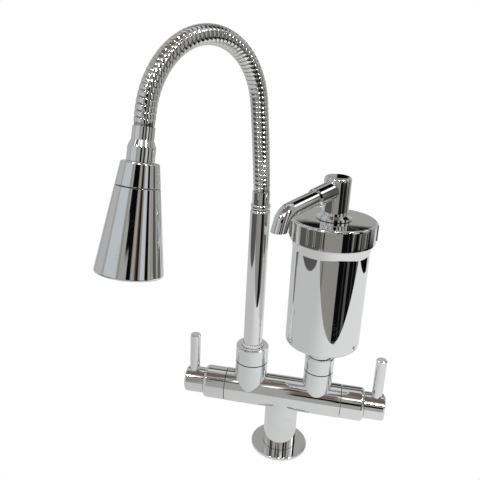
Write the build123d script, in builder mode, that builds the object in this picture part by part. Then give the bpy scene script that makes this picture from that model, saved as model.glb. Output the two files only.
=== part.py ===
"""Two-lever drinking water tap with a flexible gooseneck spray and an on-line filter.

Millimetres, +Z up. The origin is the middle of the base flange's underside. The bar lies along X, and
the user stands on the -Y side. Every piece is its own solid and is written to parts/.
"""
from build123d import *
from math import cos, degrees, pi, radians, sin, sqrt
import os

os.makedirs("parts", exist_ok=True)

# Base flange and its seal
flange_diameter = 50
flange_thickness = 2.4
flange_edge_round = 0.9
base_seal_mid_diameter = 39.4
base_seal_width = 2.6
base_seal_depth = 1.2

# Tap body: column, bar and the two outlet sockets
axis_height = 53.5
column_diameter = 28.8
bar_diameter = 29
bar_end_reach = 21.3
bar_end_chamfer = 0.4
socket_offset = 29.3
socket_rise = 28.2
spout_socket_diameter = 28
filter_socket_diameter = 24.8
inlet_thread_diameter = 20.95
inlet_thread_depth = 15
waterway_diameter = 9
valve_bore_diameter = 19
valve_seat_inset = 11.3
socket_floor_wall = 3
nut_recess_depth = 6

# Clearances
running_fit = 0.1
joint_gap = 0.3
face_gap = 0.1
press_gap = 0.05
seam_width = 0.9

# Valves, measured outwards along the bar from its middle
seat_washer_thickness = 1.5
seat_washer_bore = 11
headwork_diameter = 18.6
headwork_flange_diameter = 24
headwork_flange_thickness = 3
headwork_neck_diameter = 14
headwork_neck_recess = 2.4
disc_chamber_diameter = 15.4
disc_chamber_spare = 6.75
valve_window_gap = 0.35
valve_window_length = 5.6
valve_window_width = 9
ceramic_disc_diameter = 15
ceramic_disc_thickness = 3
ceramic_port_diameter = 4.4
ceramic_port_offset = 3.7
driver_thickness = 1.6
driver_tang_depth = 1.1
driver_tang_width = 2
driver_tang_length = 10
spindle_diameter = 8
spindle_recess = 5.8
seal_section = 1.1
seal_first_inset = 5
seal_spacing = 5

bonnet_diameter = 28.6
bonnet_seam = 0.3
bonnet_length = 19.5
bonnet_bore_diameter = 24.6
bonnet_end_wall = 3
bonnet_end_round = 3

# Levers
hub_diameter = 22.7
hub_length = 17.1
hub_end_chamfer = 1.4
rod_inset = 7.2
rod_diameter = 9
rod_rise = 45.7
rod_end_chamfer = 0.8
rod_stud_diameter = 6
rod_stud_depth = 6
grub_diameter = 4
grub_key_width = 2
grub_key_depth = 2.5
grub_sink = 0.6

# Swivelling spigots that plug into the sockets
spigot_diameter = 17.4
spigot_bore = 9
spigot_foot_gap = 0.5
spigot_groove_height = 2.3
spigot_first_groove = 1.8
spigot_groove_spacing = 4.2
spigot_seal_section = 2
spigot_collar_diameter = 18
spigot_collar_height = 2.8
spigot_neck_length = 10

# Nuts on the sockets
nut_skirt_wall = 2
nut_lip_height = 3.3
nut_seam_inset = 1.5
nut_edge_chamfer = 1.1
spout_nut_rise = 14.7
filter_nut_rise = 13.4

# Riser tube
riser_diameter = 16.2
riser_wall = 1.5
riser_visible_length = 122.2
riser_top_round = 2.4
riser_top_wall = 4
trim_ring_diameter = 19.2
trim_ring_height = 1.5

# Ferrules at the ends of the gooseneck
ferrule_tail_diameter = 10.8
ferrule_bead_diameter = 16
ferrule_bead_height = 4.4
ferrule_bead_round = 1.6
lower_ferrule_diameter = 14.1
lower_ferrule_length = 10.1
upper_ferrule_diameter = 13.9
upper_ferrule_length = 8
upper_tail_diameter = 13.2
upper_tail_length = 8
ferrule_mouth_chamfer = 0.4

# Gooseneck: straight ends and four tangent arcs in one upright plane
spout_azimuth = 239.8
hose_outer_diameter = 13.4
hose_valley_diameter = 11.9
hose_bore_diameter = 9.2
hose_tail_diameter = 12
hose_tail_length = 8
hose_foot_straight = 2
hose_end_straight = 8.4
hose_arc_radii = (26.2, 1230, 54.1, 57.5)
hose_arc_turns = (6.1, 2.98, 115.4, 45)
hose_arc_rolls = (0, 0, 0, 3.4)
hose_rib_pitch = 3.72
rib_crest_start_share = 0.18
rib_crest_end_share = 0.62
rib_valley_share = 0.8
liner_diameter = 8.6
liner_bore = 6

# Spray head, measured down its axis from the hose's visible end
neck_diameter = 17.4
neck_flare_length = 4.2
neck_length = 13.3
neck_flare_round = 2
collar_top_diameter = 23.8
collar_length = 14.9
collar_top_round = 1.5
collar_top_wall = 2.5
head_rim_diameter = 44.2
cone_length = 55.4
head_wall = 2
head_seam = 0.5
head_seam_round = 0.3
head_rim_round = 1.4
skirt_length = 7
skirt_wall = 1.6
head_seal_section = 1.4
spray_tube_diameter = 10
spray_tube_bore = 7
spray_funnel_length = 12
spray_funnel_inset = 2.4
spray_funnel_wall = 1.6
spray_plate_recess = 6
spray_plate_thickness = 2.4
spray_hole_diameter = 1.8
spray_ring_counts = (6, 12)
spray_ring_step = 7

# Filter canister
stub_diameter = 15.6
housing_diameter = 61.3
housing_wall = 1.6
stub_visible_length = 13.8
housing_height = 102.2
housing_bottom_round = 2.6
flare_height = 19.8
flare_bend_radius = 6
flare_angle = 13
flare_length = 6.5
stub_shoulder_diameter = 20
stub_tail_diameter = 12
stub_tail_rise = 2
housing_collar_wall = 1.75
cap_overlap = 11.7
cap_wall = 1.1
cap_crown = 5.5
cap_top_wall = 4.4
cap_top_round = 1.8
cap_mouth_chamfer = 0.6
cap_boss_diameter = 24
cap_boss_drop = 3
grip_rib_radius = 1.6
grip_rib_proud = 1
grip_rib_drop = 2.2
grip_rib_length = 12.3
grip_group_count = 6
grip_ribs_in_group = 3
grip_rib_angle = 10
grip_first_angle = 239
cap_seal_width = 1.4

# Filter block inside the canister
block_side_gap = 4.05
block_bore = 14
block_lift = 7.2
block_height = 72
block_cap_lip = 2
block_cap_thickness = 3
block_cap_rim = 3
block_cap_rim_gap = 0.3
block_foot_height = 4
block_foot_diameter = 30
outlet_stub_diameter = 8.2
outlet_stub_bore = 4.6
outlet_stub_engagement = 3.5
outlet_seal_section = 1

# Drinking spout on the cap
post_spigot_diameter = 13.8
post_spigot_tail = 5.3
post_bore = 8.6
post_washer_thickness = 0.4
post_washer_diameter = 23
post_flange_diameter = 27.6
post_flange_height = 2
post_flange_slope_height = 1.6
post_diameter = 21
post_height = 33.3
post_top_round = 2.6
post_top_wall = 5
circlip_diameter = 18
circlip_thickness = 1
circlip_opening = 5
circlip_groove_depth = 1
arm_drop = 8.8
arm_azimuth = 238
arm_slope = 8
arm_sleeve_diameter = 14.3
arm_sleeve_end = 29.5
arm_sleeve_chamfer = 1.3
arm_seat = 14
drink_tube_diameter = 11.7
drink_tube_wall = 1
drink_tube_straight = 57.3
drink_tube_bend_radius = 11.5
drink_tube_bend_turn = 63.5
drink_tube_tip = 8.4
insert_thickness = 3
insert_inset = 4.4
insert_hole_diameter = 2
insert_hole_offset = 2.7
insert_hole_count = 6

# Sizes worked out from the ones above: bar, sockets and nuts
bar_half_length = socket_offset + bar_end_reach
socket_top = axis_height + socket_rise
socket_floor = axis_height + valve_bore_diameter / 2 + socket_floor_wall
socket_bore_radius = spigot_diameter / 2 + running_fit
nut_bottom = socket_top + seam_width
spout_nut_top = nut_bottom + spout_nut_rise
filter_nut_top = nut_bottom + filter_nut_rise
spigot_foot = socket_floor + spigot_foot_gap
spigot_seal_bore = spigot_diameter + running_fit - 2 * spigot_seal_section

# Worked out along a valve, from its seat outwards
valve_bore_start = socket_offset - valve_seat_inset
disc_start = valve_bore_start + seat_washer_thickness
turning_disc_start = disc_start + face_gap + ceramic_disc_thickness + press_gap
turning_disc_end = turning_disc_start + ceramic_disc_thickness
valve_window_start = turning_disc_end + driver_thickness + valve_window_gap
disc_chamber_end = turning_disc_end + driver_thickness + disc_chamber_spare
seal_first_place = disc_chamber_end + seal_first_inset
bonnet_start = bar_half_length + bonnet_seam
bonnet_end = bonnet_start + bonnet_length
headwork_neck_end = bonnet_end - headwork_neck_recess
hub_start = bonnet_end + joint_gap
hub_end = hub_start + hub_length
rod_place = hub_end - rod_inset
spindle_end = hub_end - spindle_recess

# Worked out up the riser and down the spray head
riser_top = spout_nut_top + riser_visible_length
hose_start = riser_top + ferrule_bead_height + lower_ferrule_length
neck_end = upper_ferrule_length + neck_length
collar_end = neck_end + collar_length
head_end = collar_end + cone_length
spray_plate_place = head_end - spray_plate_recess

# Worked out up the filter, its cap and its post
housing_bottom = filter_nut_top + stub_visible_length
housing_top = housing_bottom + housing_height
flare_start = housing_top - flare_height
flare_top_radius = (housing_diameter / 2 + flare_bend_radius * (1 - cos(radians(flare_angle)))
                    + flare_length * sin(radians(flare_angle)))
flare_top = flare_start + flare_bend_radius * sin(radians(flare_angle)) + flare_length * cos(radians(flare_angle))
housing_collar_diameter = housing_diameter + 2 * housing_collar_wall
cap_bottom = housing_top - cap_overlap
cap_top = housing_top + cap_crown
cap_bore = housing_collar_diameter + 2 * joint_gap
cap_diameter = cap_bore + 2 * cap_wall
cap_inner_top = cap_top - cap_top_wall
block_cap_diameter = housing_diameter - 2 * housing_wall - 2 * block_side_gap
block_diameter = block_cap_diameter - 2 * block_cap_lip
block_bottom = housing_bottom + block_lift
block_top = block_bottom + block_height
flange_bottom = cap_top + post_washer_thickness
circlip_place = cap_inner_top - cap_boss_drop - joint_gap - circlip_thickness
post_spigot_bottom = circlip_place - post_spigot_tail
post_top = flange_bottom + post_height
arm_height = post_top - arm_drop
stub_top = post_spigot_bottom + outlet_stub_engagement


def write_piece(piece, name):
    """Labels a finished piece and writes its STEP file."""
    piece.part.label = name
    export_step(piece.part, f"parts/{name}.step")


def round_bar(plane, diameter, length, mode=Mode.ADD):
    """Adds or cuts a round bar that starts on the plane and runs along its normal."""
    with BuildSketch(plane) as outline:
        Circle(diameter / 2)
    extrude(outline.sketch, amount=length, mode=mode)


def round_ring(plane, diameter, bore, length, mode=Mode.ADD):
    """Adds or cuts a round ring that starts on the plane and runs along its normal."""
    with BuildSketch(plane) as outline:
        Circle(diameter / 2)
        Circle(bore / 2, mode=Mode.SUBTRACT)
    extrude(outline.sketch, amount=length, mode=mode)


def seal_ring(plane, inner_diameter, section):
    """Adds an O-ring of round section that lies in the plane and hugs the inner diameter."""
    with Locations(plane):
        Torus((inner_diameter + section) / 2, section / 2)


def upright(x, height):
    """The level plane at that height over a place on the bar, with its normal up."""
    return Plane(origin=(x, 0, height), x_dir=(1, 0, 0), z_dir=(0, 0, 1))


# Base flange: a round cover plate about the column's foot, with a groove for its seal
with BuildPart() as base_flange:
    round_ring(Plane.XY, flange_diameter, column_diameter + 2 * press_gap, flange_thickness)
    fillet(base_flange.edges().filter_by(GeomType.CIRCLE).group_by(Axis.Z)[-1].sort_by(SortBy.RADIUS)[-1],
           flange_edge_round)
    round_ring(Plane.XY, base_seal_mid_diameter + base_seal_width,
               base_seal_mid_diameter - base_seal_width, base_seal_depth, Mode.SUBTRACT)
write_piece(base_flange, "base_flange")

# Base seal: a flat rubber ring in the flange's groove
with BuildPart() as base_seal:
    round_ring(Plane.XY, base_seal_mid_diameter + base_seal_width - joint_gap,
               base_seal_mid_diameter - base_seal_width + joint_gap, base_seal_depth)
write_piece(base_seal, "base_seal")

def valve_plane(sign, distance):
    """The plane across the bar at that distance from its middle, its normal outwards and its X axis up."""
    return Plane(origin=(sign * distance, 0, axis_height), x_dir=(0, 0, 1), z_dir=(sign, 0, 0))


# Tap body: the column, the bar and both sockets are one brass casting
with BuildPart() as tap_body:
    round_bar(valve_plane(1, -bar_half_length), bar_diameter, 2 * bar_half_length)
    chamfer(tap_body.edges().filter_by(GeomType.CIRCLE), bar_end_chamfer)
    round_bar(Plane.XY, column_diameter, axis_height)
    round_bar(upright(-socket_offset, axis_height), spout_socket_diameter, socket_rise)
    round_bar(upright(socket_offset, axis_height), filter_socket_diameter, socket_rise)
    for sign in (-1, 1):
        round_bar(valve_plane(sign, valve_bore_start), valve_bore_diameter,
                  bar_half_length - valve_bore_start, Mode.SUBTRACT)
    round_bar(valve_plane(1, -valve_bore_start), waterway_diameter, 2 * valve_bore_start, Mode.SUBTRACT)
    round_bar(Plane.XY, waterway_diameter, axis_height, Mode.SUBTRACT)
    round_bar(Plane.XY, inlet_thread_diameter, inlet_thread_depth, Mode.SUBTRACT)
    for x in (-socket_offset, socket_offset):
        round_bar(upright(x, axis_height), waterway_diameter, socket_rise, Mode.SUBTRACT)
        round_bar(upright(x, socket_floor), 2 * socket_bore_radius, socket_top - socket_floor, Mode.SUBTRACT)
    for x, nut_diameter in ((-socket_offset, spout_socket_diameter), (socket_offset, filter_socket_diameter)):
        round_bar(upright(x, socket_top - nut_recess_depth), nut_diameter - 2 * nut_seam_inset - nut_skirt_wall,
                  nut_recess_depth, Mode.SUBTRACT)
write_piece(tap_body, "tap_body")


def make_valve(side, sign):
    """Builds the ten pieces of one valve and its lever."""
    with BuildPart() as seat_washer:
        round_ring(valve_plane(sign, valve_bore_start), headwork_diameter - 2 * face_gap,
                   seat_washer_bore, seat_washer_thickness)
    write_piece(seat_washer, f"{side}_seat_washer")

    with BuildPart() as valve_housing:
        round_bar(valve_plane(sign, disc_start), headwork_diameter, bar_half_length - disc_start)
        round_bar(valve_plane(sign, bar_half_length), headwork_flange_diameter, headwork_flange_thickness)
        round_bar(valve_plane(sign, bar_half_length), headwork_neck_diameter, headwork_neck_end - bar_half_length)
        round_bar(valve_plane(sign, disc_start), disc_chamber_diameter, disc_chamber_end - disc_start, Mode.SUBTRACT)
        round_bar(valve_plane(sign, disc_start), spindle_diameter + 2 * running_fit,
                  headwork_neck_end - disc_start, Mode.SUBTRACT)
        with BuildSketch(valve_plane(sign, valve_window_start)) as windows:
            Rectangle(2 * headwork_diameter, valve_window_width)
        extrude(windows.sketch, amount=valve_window_length, mode=Mode.SUBTRACT)
        # the window cut leaves the two side walls, which keep the two halves in one piece
    write_piece(valve_housing, f"{side}_valve_housing")

    with BuildPart() as fixed_disc:
        round_bar(valve_plane(sign, disc_start + face_gap), ceramic_disc_diameter, ceramic_disc_thickness)
        with BuildSketch(valve_plane(sign, disc_start)) as ports:
            with Locations((ceramic_port_offset, 0), (-ceramic_port_offset, 0)):
                Circle(ceramic_port_diameter / 2)
        extrude(ports.sketch, amount=2 * ceramic_disc_thickness, mode=Mode.SUBTRACT)
    write_piece(fixed_disc, f"{side}_fixed_disc")

    with BuildPart() as turning_disc:
        round_bar(valve_plane(sign, turning_disc_start), ceramic_disc_diameter - joint_gap, ceramic_disc_thickness)
        with BuildSketch(valve_plane(sign, turning_disc_start)) as ports:
            with Locations((0, ceramic_port_offset), (0, -ceramic_port_offset)):
                Circle(ceramic_port_diameter / 2)
        extrude(ports.sketch, amount=ceramic_disc_thickness, mode=Mode.SUBTRACT)
        with BuildSketch(valve_plane(sign, turning_disc_end - driver_tang_depth)) as slot:
            Rectangle(driver_tang_length + 2 * face_gap, driver_tang_width + 2 * face_gap)
        extrude(slot.sketch, amount=driver_tang_depth, mode=Mode.SUBTRACT)
    write_piece(turning_disc, f"{side}_turning_disc")

    with BuildPart() as valve_spindle:
        round_bar(valve_plane(sign, turning_disc_end), ceramic_disc_diameter - 2 * joint_gap, driver_thickness)
        round_bar(valve_plane(sign, turning_disc_end), spindle_diameter, spindle_end - turning_disc_end)
        with BuildSketch(valve_plane(sign, turning_disc_end - driver_tang_depth + face_gap)) as tang:
            Rectangle(driver_tang_length, driver_tang_width)
        extrude(tang.sketch, amount=driver_tang_depth - face_gap)
        for place in (seal_first_place, seal_first_place + seal_spacing):
            round_ring(valve_plane(sign, place), spindle_diameter + seal_section,
                       spindle_diameter - 2 * seal_section - 2 * press_gap,
                       seal_section + 2 * face_gap, Mode.SUBTRACT)
    write_piece(valve_spindle, f"{side}_spindle")

    with BuildPart() as spindle_seals:
        for place in (seal_first_place, seal_first_place + seal_spacing):
            seal_ring(valve_plane(sign, place + face_gap + seal_section / 2),
                      spindle_diameter - 2 * seal_section, seal_section)
    write_piece(spindle_seals, f"{side}_spindle_seals")

    with BuildPart() as bonnet_sleeve:
        round_bar(valve_plane(sign, bonnet_start), bonnet_diameter, bonnet_end - bonnet_start)
        fillet(bonnet_sleeve.edges().filter_by(GeomType.CIRCLE).sort_by(lambda e: sign * e.center().X)[-1],
               bonnet_end_round)
        round_bar(valve_plane(sign, bonnet_start), bonnet_bore_diameter,
                  bonnet_end - bonnet_end_wall - bonnet_start, Mode.SUBTRACT)
        round_bar(valve_plane(sign, bonnet_start), headwork_neck_diameter + 2 * face_gap,
                  bonnet_end - bonnet_start, Mode.SUBTRACT)
    write_piece(bonnet_sleeve, f"{side}_bonnet_sleeve")

    rod_foot = Plane(origin=(sign * rod_place, 0, axis_height), x_dir=(1, 0, 0), z_dir=(0, 0, 1))
    stud_bottom = hub_diameter / 2 - rod_stud_depth
    with BuildPart() as lever_hub:
        round_bar(valve_plane(sign, hub_start), hub_diameter, hub_end - hub_start)
        chamfer(lever_hub.edges().filter_by(GeomType.CIRCLE).sort_by(lambda e: sign * e.center().X)[-1],
                hub_end_chamfer)
        round_bar(valve_plane(sign, hub_start), spindle_diameter + 2 * press_gap,
                  spindle_end + joint_gap - hub_start, Mode.SUBTRACT)
        round_bar(rod_foot.offset(stud_bottom), rod_stud_diameter + 2 * press_gap, hub_diameter, Mode.SUBTRACT)
        round_bar(rod_foot.offset(-hub_diameter), grub_diameter + 2 * press_gap, hub_diameter, Mode.SUBTRACT)
    write_piece(lever_hub, f"{side}_lever_hub")

    with BuildPart() as lever_rod:
        round_bar(rod_foot, rod_diameter, rod_rise)
        chamfer(lever_rod.edges().filter_by(GeomType.CIRCLE).sort_by(Axis.Z)[-1], rod_end_chamfer)
        round_bar(valve_plane(sign, hub_start), hub_diameter, hub_end - hub_start, Mode.SUBTRACT)
        round_bar(rod_foot.offset(stud_bottom), rod_stud_diameter, hub_diameter / 2)
    write_piece(lever_rod, f"{side}_lever_rod")

    with BuildPart() as grub_screw:
        grub_top = -spindle_diameter / 2 - press_gap
        grub_bottom = -hub_diameter / 2 + grub_sink
        round_bar(rod_foot.offset(grub_bottom), grub_diameter, grub_top - grub_bottom)
        with BuildSketch(rod_foot.offset(grub_bottom)) as key:
            RegularPolygon(grub_key_width / 2, 6)
        extrude(key.sketch, amount=grub_key_depth, mode=Mode.SUBTRACT)
    write_piece(grub_screw, f"{side}_grub_screw")


make_valve("left", -1)
make_valve("right", 1)


def make_nut(x, diameter, top, lip_bore):
    """Adds a ring nut on a socket: a skirt in the socket's recess, a seam ring and an inward lip."""
    seam_diameter = diameter - 2 * nut_seam_inset
    skirt_diameter = seam_diameter - nut_skirt_wall - 2 * face_gap
    skirt_bottom = socket_top - nut_recess_depth + joint_gap
    round_bar(upright(x, nut_bottom), diameter, top - nut_bottom)
    chamfer(edges().filter_by(GeomType.CIRCLE).sort_by(Axis.Z)[-1], nut_edge_chamfer)
    round_bar(upright(x, socket_top), seam_diameter, seam_width)
    round_bar(upright(x, skirt_bottom), skirt_diameter, nut_bottom - skirt_bottom)
    round_bar(upright(x, skirt_bottom), spigot_collar_diameter + 2 * joint_gap,
              top - nut_lip_height - skirt_bottom, Mode.SUBTRACT)
    round_bar(upright(x, skirt_bottom), lip_bore, top - skirt_bottom, Mode.SUBTRACT)


def make_spigot(x, neck_diameter_here, neck_end_here, bore):
    """Adds a spigot with two seal grooves, a collar and a neck."""
    collar_bottom = socket_top
    round_bar(upright(x, spigot_foot), spigot_diameter, collar_bottom - spigot_foot)
    round_bar(upright(x, collar_bottom), spigot_collar_diameter, spigot_collar_height)
    round_bar(upright(x, collar_bottom), neck_diameter_here, neck_end_here - collar_bottom)
    for place in (spigot_first_groove, spigot_first_groove + spigot_groove_spacing):
        round_ring(upright(x, spigot_foot + place), spigot_diameter + spigot_seal_section,
                   spigot_seal_bore - 2 * press_gap, spigot_groove_height, Mode.SUBTRACT)
    round_bar(upright(x, spigot_foot), bore, neck_end_here - spigot_foot, Mode.SUBTRACT)


def make_spigot_seals(x):
    """Adds the two O-rings in a spigot's grooves."""
    for place in (spigot_first_groove, spigot_first_groove + spigot_groove_spacing):
        seal_ring(upright(x, spigot_foot + place + spigot_groove_height / 2),
                  spigot_seal_bore, spigot_seal_section)


# Left outlet: nut, spigot, seals, bearing sleeve, riser tube and its trim ring
with BuildPart() as spout_nut:
    make_nut(-socket_offset, spout_socket_diameter, spout_nut_top, riser_diameter + 2 * joint_gap)
write_piece(spout_nut, "spout_nut")

tube_foot = socket_top + spigot_collar_height
riser_bore = riser_diameter - 2 * riser_wall
with BuildPart() as spout_spigot:
    make_spigot(-socket_offset, riser_bore - 2 * press_gap, tube_foot + spigot_neck_length, spigot_bore)
write_piece(spout_spigot, "spout_spigot")

with BuildPart() as spout_seals:
    make_spigot_seals(-socket_offset)
write_piece(spout_seals, "spout_seals")

with BuildPart() as slip_sleeve:
    round_ring(upright(-socket_offset, tube_foot), spigot_collar_diameter, riser_diameter + 2 * press_gap,
               spout_nut_top - nut_lip_height - joint_gap - tube_foot)
write_piece(slip_sleeve, "slip_sleeve")

with BuildPart() as riser_tube:
    round_bar(upright(-socket_offset, tube_foot), riser_diameter, riser_top - tube_foot)
    fillet(riser_tube.edges().filter_by(GeomType.CIRCLE).sort_by(Axis.Z)[-1], riser_top_round)
    round_bar(upright(-socket_offset, tube_foot), riser_bore, riser_top - riser_top_wall - tube_foot, Mode.SUBTRACT)
    round_bar(upright(-socket_offset, tube_foot), ferrule_tail_diameter + 2 * press_gap,
              riser_top - tube_foot, Mode.SUBTRACT)
write_piece(riser_tube, "riser_tube")

with BuildPart() as riser_trim_ring:
    round_ring(upright(-socket_offset, spout_nut_top + joint_gap), trim_ring_diameter,
               riser_diameter + 2 * press_gap, trim_ring_height)
    fillet(riser_trim_ring.edges().filter_by(GeomType.CIRCLE).group_by(Axis.Z)[-1].sort_by(SortBy.RADIUS)[-1],
           trim_ring_height / 3)
write_piece(riser_trim_ring, "riser_trim_ring")

bead_top = riser_top + ferrule_bead_height
tail_bottom = riser_top - riser_top_wall - joint_gap
with BuildPart() as lower_ferrule:
    round_bar(upright(-socket_offset, riser_top), ferrule_bead_diameter, ferrule_bead_height)
    fillet(lower_ferrule.edges().filter_by(GeomType.CIRCLE), ferrule_bead_round)
    round_bar(upright(-socket_offset, tail_bottom), ferrule_tail_diameter, bead_top - tail_bottom)
    round_bar(upright(-socket_offset, bead_top), lower_ferrule_diameter, lower_ferrule_length)
    chamfer(lower_ferrule.edges().filter_by(GeomType.CIRCLE).sort_by(Axis.Z)[-1], ferrule_mouth_chamfer)
    round_bar(upright(-socket_offset, tail_bottom), liner_diameter + 2 * press_gap,
              hose_start - tail_bottom, Mode.SUBTRACT)
    round_bar(upright(-socket_offset, hose_start - hose_tail_length), hose_tail_diameter + 2 * press_gap,
              hose_tail_length, Mode.SUBTRACT)
write_piece(lower_ferrule, "lower_ferrule")

# Gooseneck path: up from the riser, over along the azimuth and down, the last bend a little out of plane
spout_side = Vector(-sin(radians(spout_azimuth)), cos(radians(spout_azimuth)), 0)


def path_stretches():
    """The hose's visible line as (length, radius, roll) stretches; a straight one has no radius."""
    yield hose_foot_straight, None, 0
    for radius, turn, roll in zip(hose_arc_radii, hose_arc_turns, hose_arc_rolls):
        yield radius * radians(turn), radius, roll
    yield hose_end_straight, None, 0


visible_length = sum(length for length, radius, roll in path_stretches())


def path_plane(distance):
    """The plane across the hose at that distance from its visible start, with a steady X axis."""
    place = Plane(origin=(-socket_offset, 0, hose_start), x_dir=spout_side, z_dir=(0, 0, 1))
    if distance <= 0:
        return place.offset(distance)
    for length, radius, roll in path_stretches():
        run = min(distance, length)
        if radius is None:
            place = place.offset(run)
        else:
            angle = run / radius
            step = Pos(0, radius * (cos(angle) - 1), radius * sin(angle)) * Rot(degrees(angle), 0, 0)
            place = Plane(place.location * Rot(0, 0, roll) * step * Rot(0, 0, -roll))
        distance -= run
        if distance <= 0:
            return place
    return place.offset(distance)


def path_wire(tail):
    """Adds the hose's line as straight runs and arcs, with a straight tail at both ends."""
    first = hose_foot_straight
    Line(path_plane(-tail).origin, path_plane(first).origin)
    for radius, turn in zip(hose_arc_radii, hose_arc_turns):
        last = first + radius * radians(turn)
        ThreePointArc(path_plane(first).origin, path_plane((first + last) / 2).origin, path_plane(last).origin)
        first = last
    Line(path_plane(first).origin, path_plane(visible_length + tail).origin)


# Gooseneck hose: ribs along its line, a plain tail in each ferrule and a bore right through
rib_count = round(visible_length / hose_rib_pitch)
rib_pitch = visible_length / rib_count
with BuildPart() as gooseneck_hose:
    rib_sections = []
    for rib in range(rib_count):
        rib_start = rib * rib_pitch
        for share, diameter in ((0, hose_valley_diameter), (rib_crest_start_share, hose_outer_diameter),
                                (rib_crest_end_share, hose_outer_diameter), (rib_valley_share, hose_valley_diameter)):
            with BuildSketch(path_plane(rib_start + share * rib_pitch), mode=Mode.PRIVATE) as rib_circle:
                Circle(diameter / 2)
            rib_sections.append(rib_circle.sketch.face())
    with BuildSketch(path_plane(visible_length), mode=Mode.PRIVATE) as last_circle:
        Circle(hose_valley_diameter / 2)
    rib_sections.append(last_circle.sketch.face())
    loft(rib_sections, ruled=True)
    round_bar(path_plane(-hose_tail_length), hose_tail_diameter, hose_tail_length)
    round_bar(path_plane(visible_length), hose_tail_diameter, hose_tail_length)
    with BuildLine() as bore_line:
        path_wire(hose_tail_length)
    with BuildSketch(path_plane(-hose_tail_length)) as bore_section:
        Circle(hose_bore_diameter / 2)
    sweep(bore_section.sketch, path=bore_line.wire(), mode=Mode.SUBTRACT)
write_piece(gooseneck_hose, "gooseneck_hose")

# Hose liner: the plastic water tube inside the metal hose
liner_overrun = hose_tail_length + ferrule_bead_height
with BuildPart() as hose_liner:
    with BuildLine() as liner_line:
        path_wire(liner_overrun)
    with BuildSketch(path_plane(-liner_overrun)) as liner_section:
        Circle(liner_diameter / 2)
        Circle(liner_bore / 2, mode=Mode.SUBTRACT)
    sweep(liner_section.sketch, path=liner_line.wire())
write_piece(hose_liner, "hose_liner")

print("gooseneck", round(visible_length, 1), "mm,", rib_count, "ribs, end", path_plane(visible_length).origin,
      "heading", path_plane(visible_length).z_dir)
print("liner volume share", round(hose_liner.part.volume
      / (pi / 4 * (liner_diameter ** 2 - liner_bore ** 2) * (visible_length + 2 * liner_overrun)), 4))


# Spray head: everything is placed down the axis in which the hose ends
def head_plane(distance):
    """The plane across the head's axis at that distance from the hose's visible end, normal down the head."""
    return path_plane(visible_length + distance)


def head_width(distance):
    """Outer diameter of the head's single cone at that distance."""
    share = (distance - neck_end) / (head_end - neck_end)
    return collar_top_diameter + share * (head_rim_diameter - collar_top_diameter)


def cone_between(start, start_diameter, end, end_diameter, mode=Mode.ADD):
    """Adds or cuts a round cone between two places on the head's axis."""
    with BuildSketch(head_plane(start), mode=Mode.PRIVATE) as first:
        Circle(start_diameter / 2)
    with BuildSketch(head_plane(end), mode=Mode.PRIVATE) as last:
        Circle(end_diameter / 2)
    loft([first.sketch.face(), last.sketch.face()], mode=mode)


def along_head(edge):
    """How far down the head's axis an edge's centre lies."""
    return (edge.center(CenterOf.BOUNDING_BOX) - head_plane(0).origin).dot(head_plane(0).z_dir)


upper_tail_end = upper_ferrule_length + upper_tail_length
with BuildPart() as upper_ferrule:
    round_bar(head_plane(0), upper_ferrule_diameter, upper_ferrule_length)
    round_bar(head_plane(upper_ferrule_length), upper_tail_diameter, upper_tail_length)
    round_bar(head_plane(0), liner_diameter + 2 * press_gap, upper_tail_end, Mode.SUBTRACT)
    round_bar(head_plane(0), hose_tail_diameter + 2 * press_gap, hose_tail_length, Mode.SUBTRACT)
write_piece(upper_ferrule, "upper_ferrule")

flare_end = upper_ferrule_length + neck_flare_length
with BuildPart() as head_neck:
    cone_between(upper_ferrule_length, upper_ferrule_diameter, flare_end, neck_diameter)
    round_bar(head_plane(flare_end), neck_diameter, neck_end - flare_end)
    fillet(head_neck.edges().filter_by(GeomType.CIRCLE).sort_by(along_head)[1], neck_flare_round)
    round_bar(head_plane(upper_ferrule_length), upper_tail_diameter + 2 * press_gap,
              neck_end - upper_ferrule_length, Mode.SUBTRACT)
write_piece(head_neck, "head_neck")

stem_start = upper_tail_end + joint_gap
stem_diameter = upper_tail_diameter
with BuildPart() as head_collar:
    cone_between(neck_end, head_width(neck_end), collar_end, head_width(collar_end))
    fillet(head_collar.edges().filter_by(GeomType.CIRCLE).sort_by(along_head)[0], collar_top_round)
    fillet(head_collar.edges().filter_by(GeomType.CIRCLE).sort_by(along_head)[-1], head_seam_round)
    cone_between(neck_end + collar_top_wall, head_width(neck_end) - 2 * head_wall,
                 collar_end, head_width(collar_end) - 2 * head_wall, Mode.SUBTRACT)
    round_bar(head_plane(neck_end), stem_diameter + 2 * press_gap, collar_top_wall, Mode.SUBTRACT)
    skirt_outer = head_width(collar_end) - 2 * head_wall + skirt_wall
    skirt_inner = skirt_outer - 2 * skirt_wall
    round_ring(head_plane(collar_end - head_wall), skirt_outer, skirt_inner, head_wall + skirt_length)
write_piece(head_collar, "head_collar")

with BuildPart() as head_seal:
    seal_ring(head_plane(collar_end + skirt_length + head_seal_section), skirt_inner, head_seal_section)
write_piece(head_seal, "head_seal")

plate_diameter = head_width(spray_plate_place) - 2 * head_wall
funnel_start = spray_plate_place - spray_funnel_length
funnel_diameter = plate_diameter - 2 * spray_funnel_inset
with BuildPart() as spray_body:
    round_bar(head_plane(stem_start), stem_diameter, neck_end + collar_top_wall - stem_start)
    round_bar(head_plane(neck_end + collar_top_wall), spray_tube_diameter,
              funnel_start - neck_end - collar_top_wall)
    cone_between(funnel_start, spray_tube_diameter, spray_plate_place - joint_gap, funnel_diameter)
    cone_between(funnel_start, spray_tube_bore, spray_plate_place - joint_gap,
                 funnel_diameter - 2 * spray_funnel_wall, Mode.SUBTRACT)
    round_bar(head_plane(stem_start), spray_tube_bore, funnel_start - stem_start, Mode.SUBTRACT)
write_piece(spray_body, "spray_body")

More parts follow.
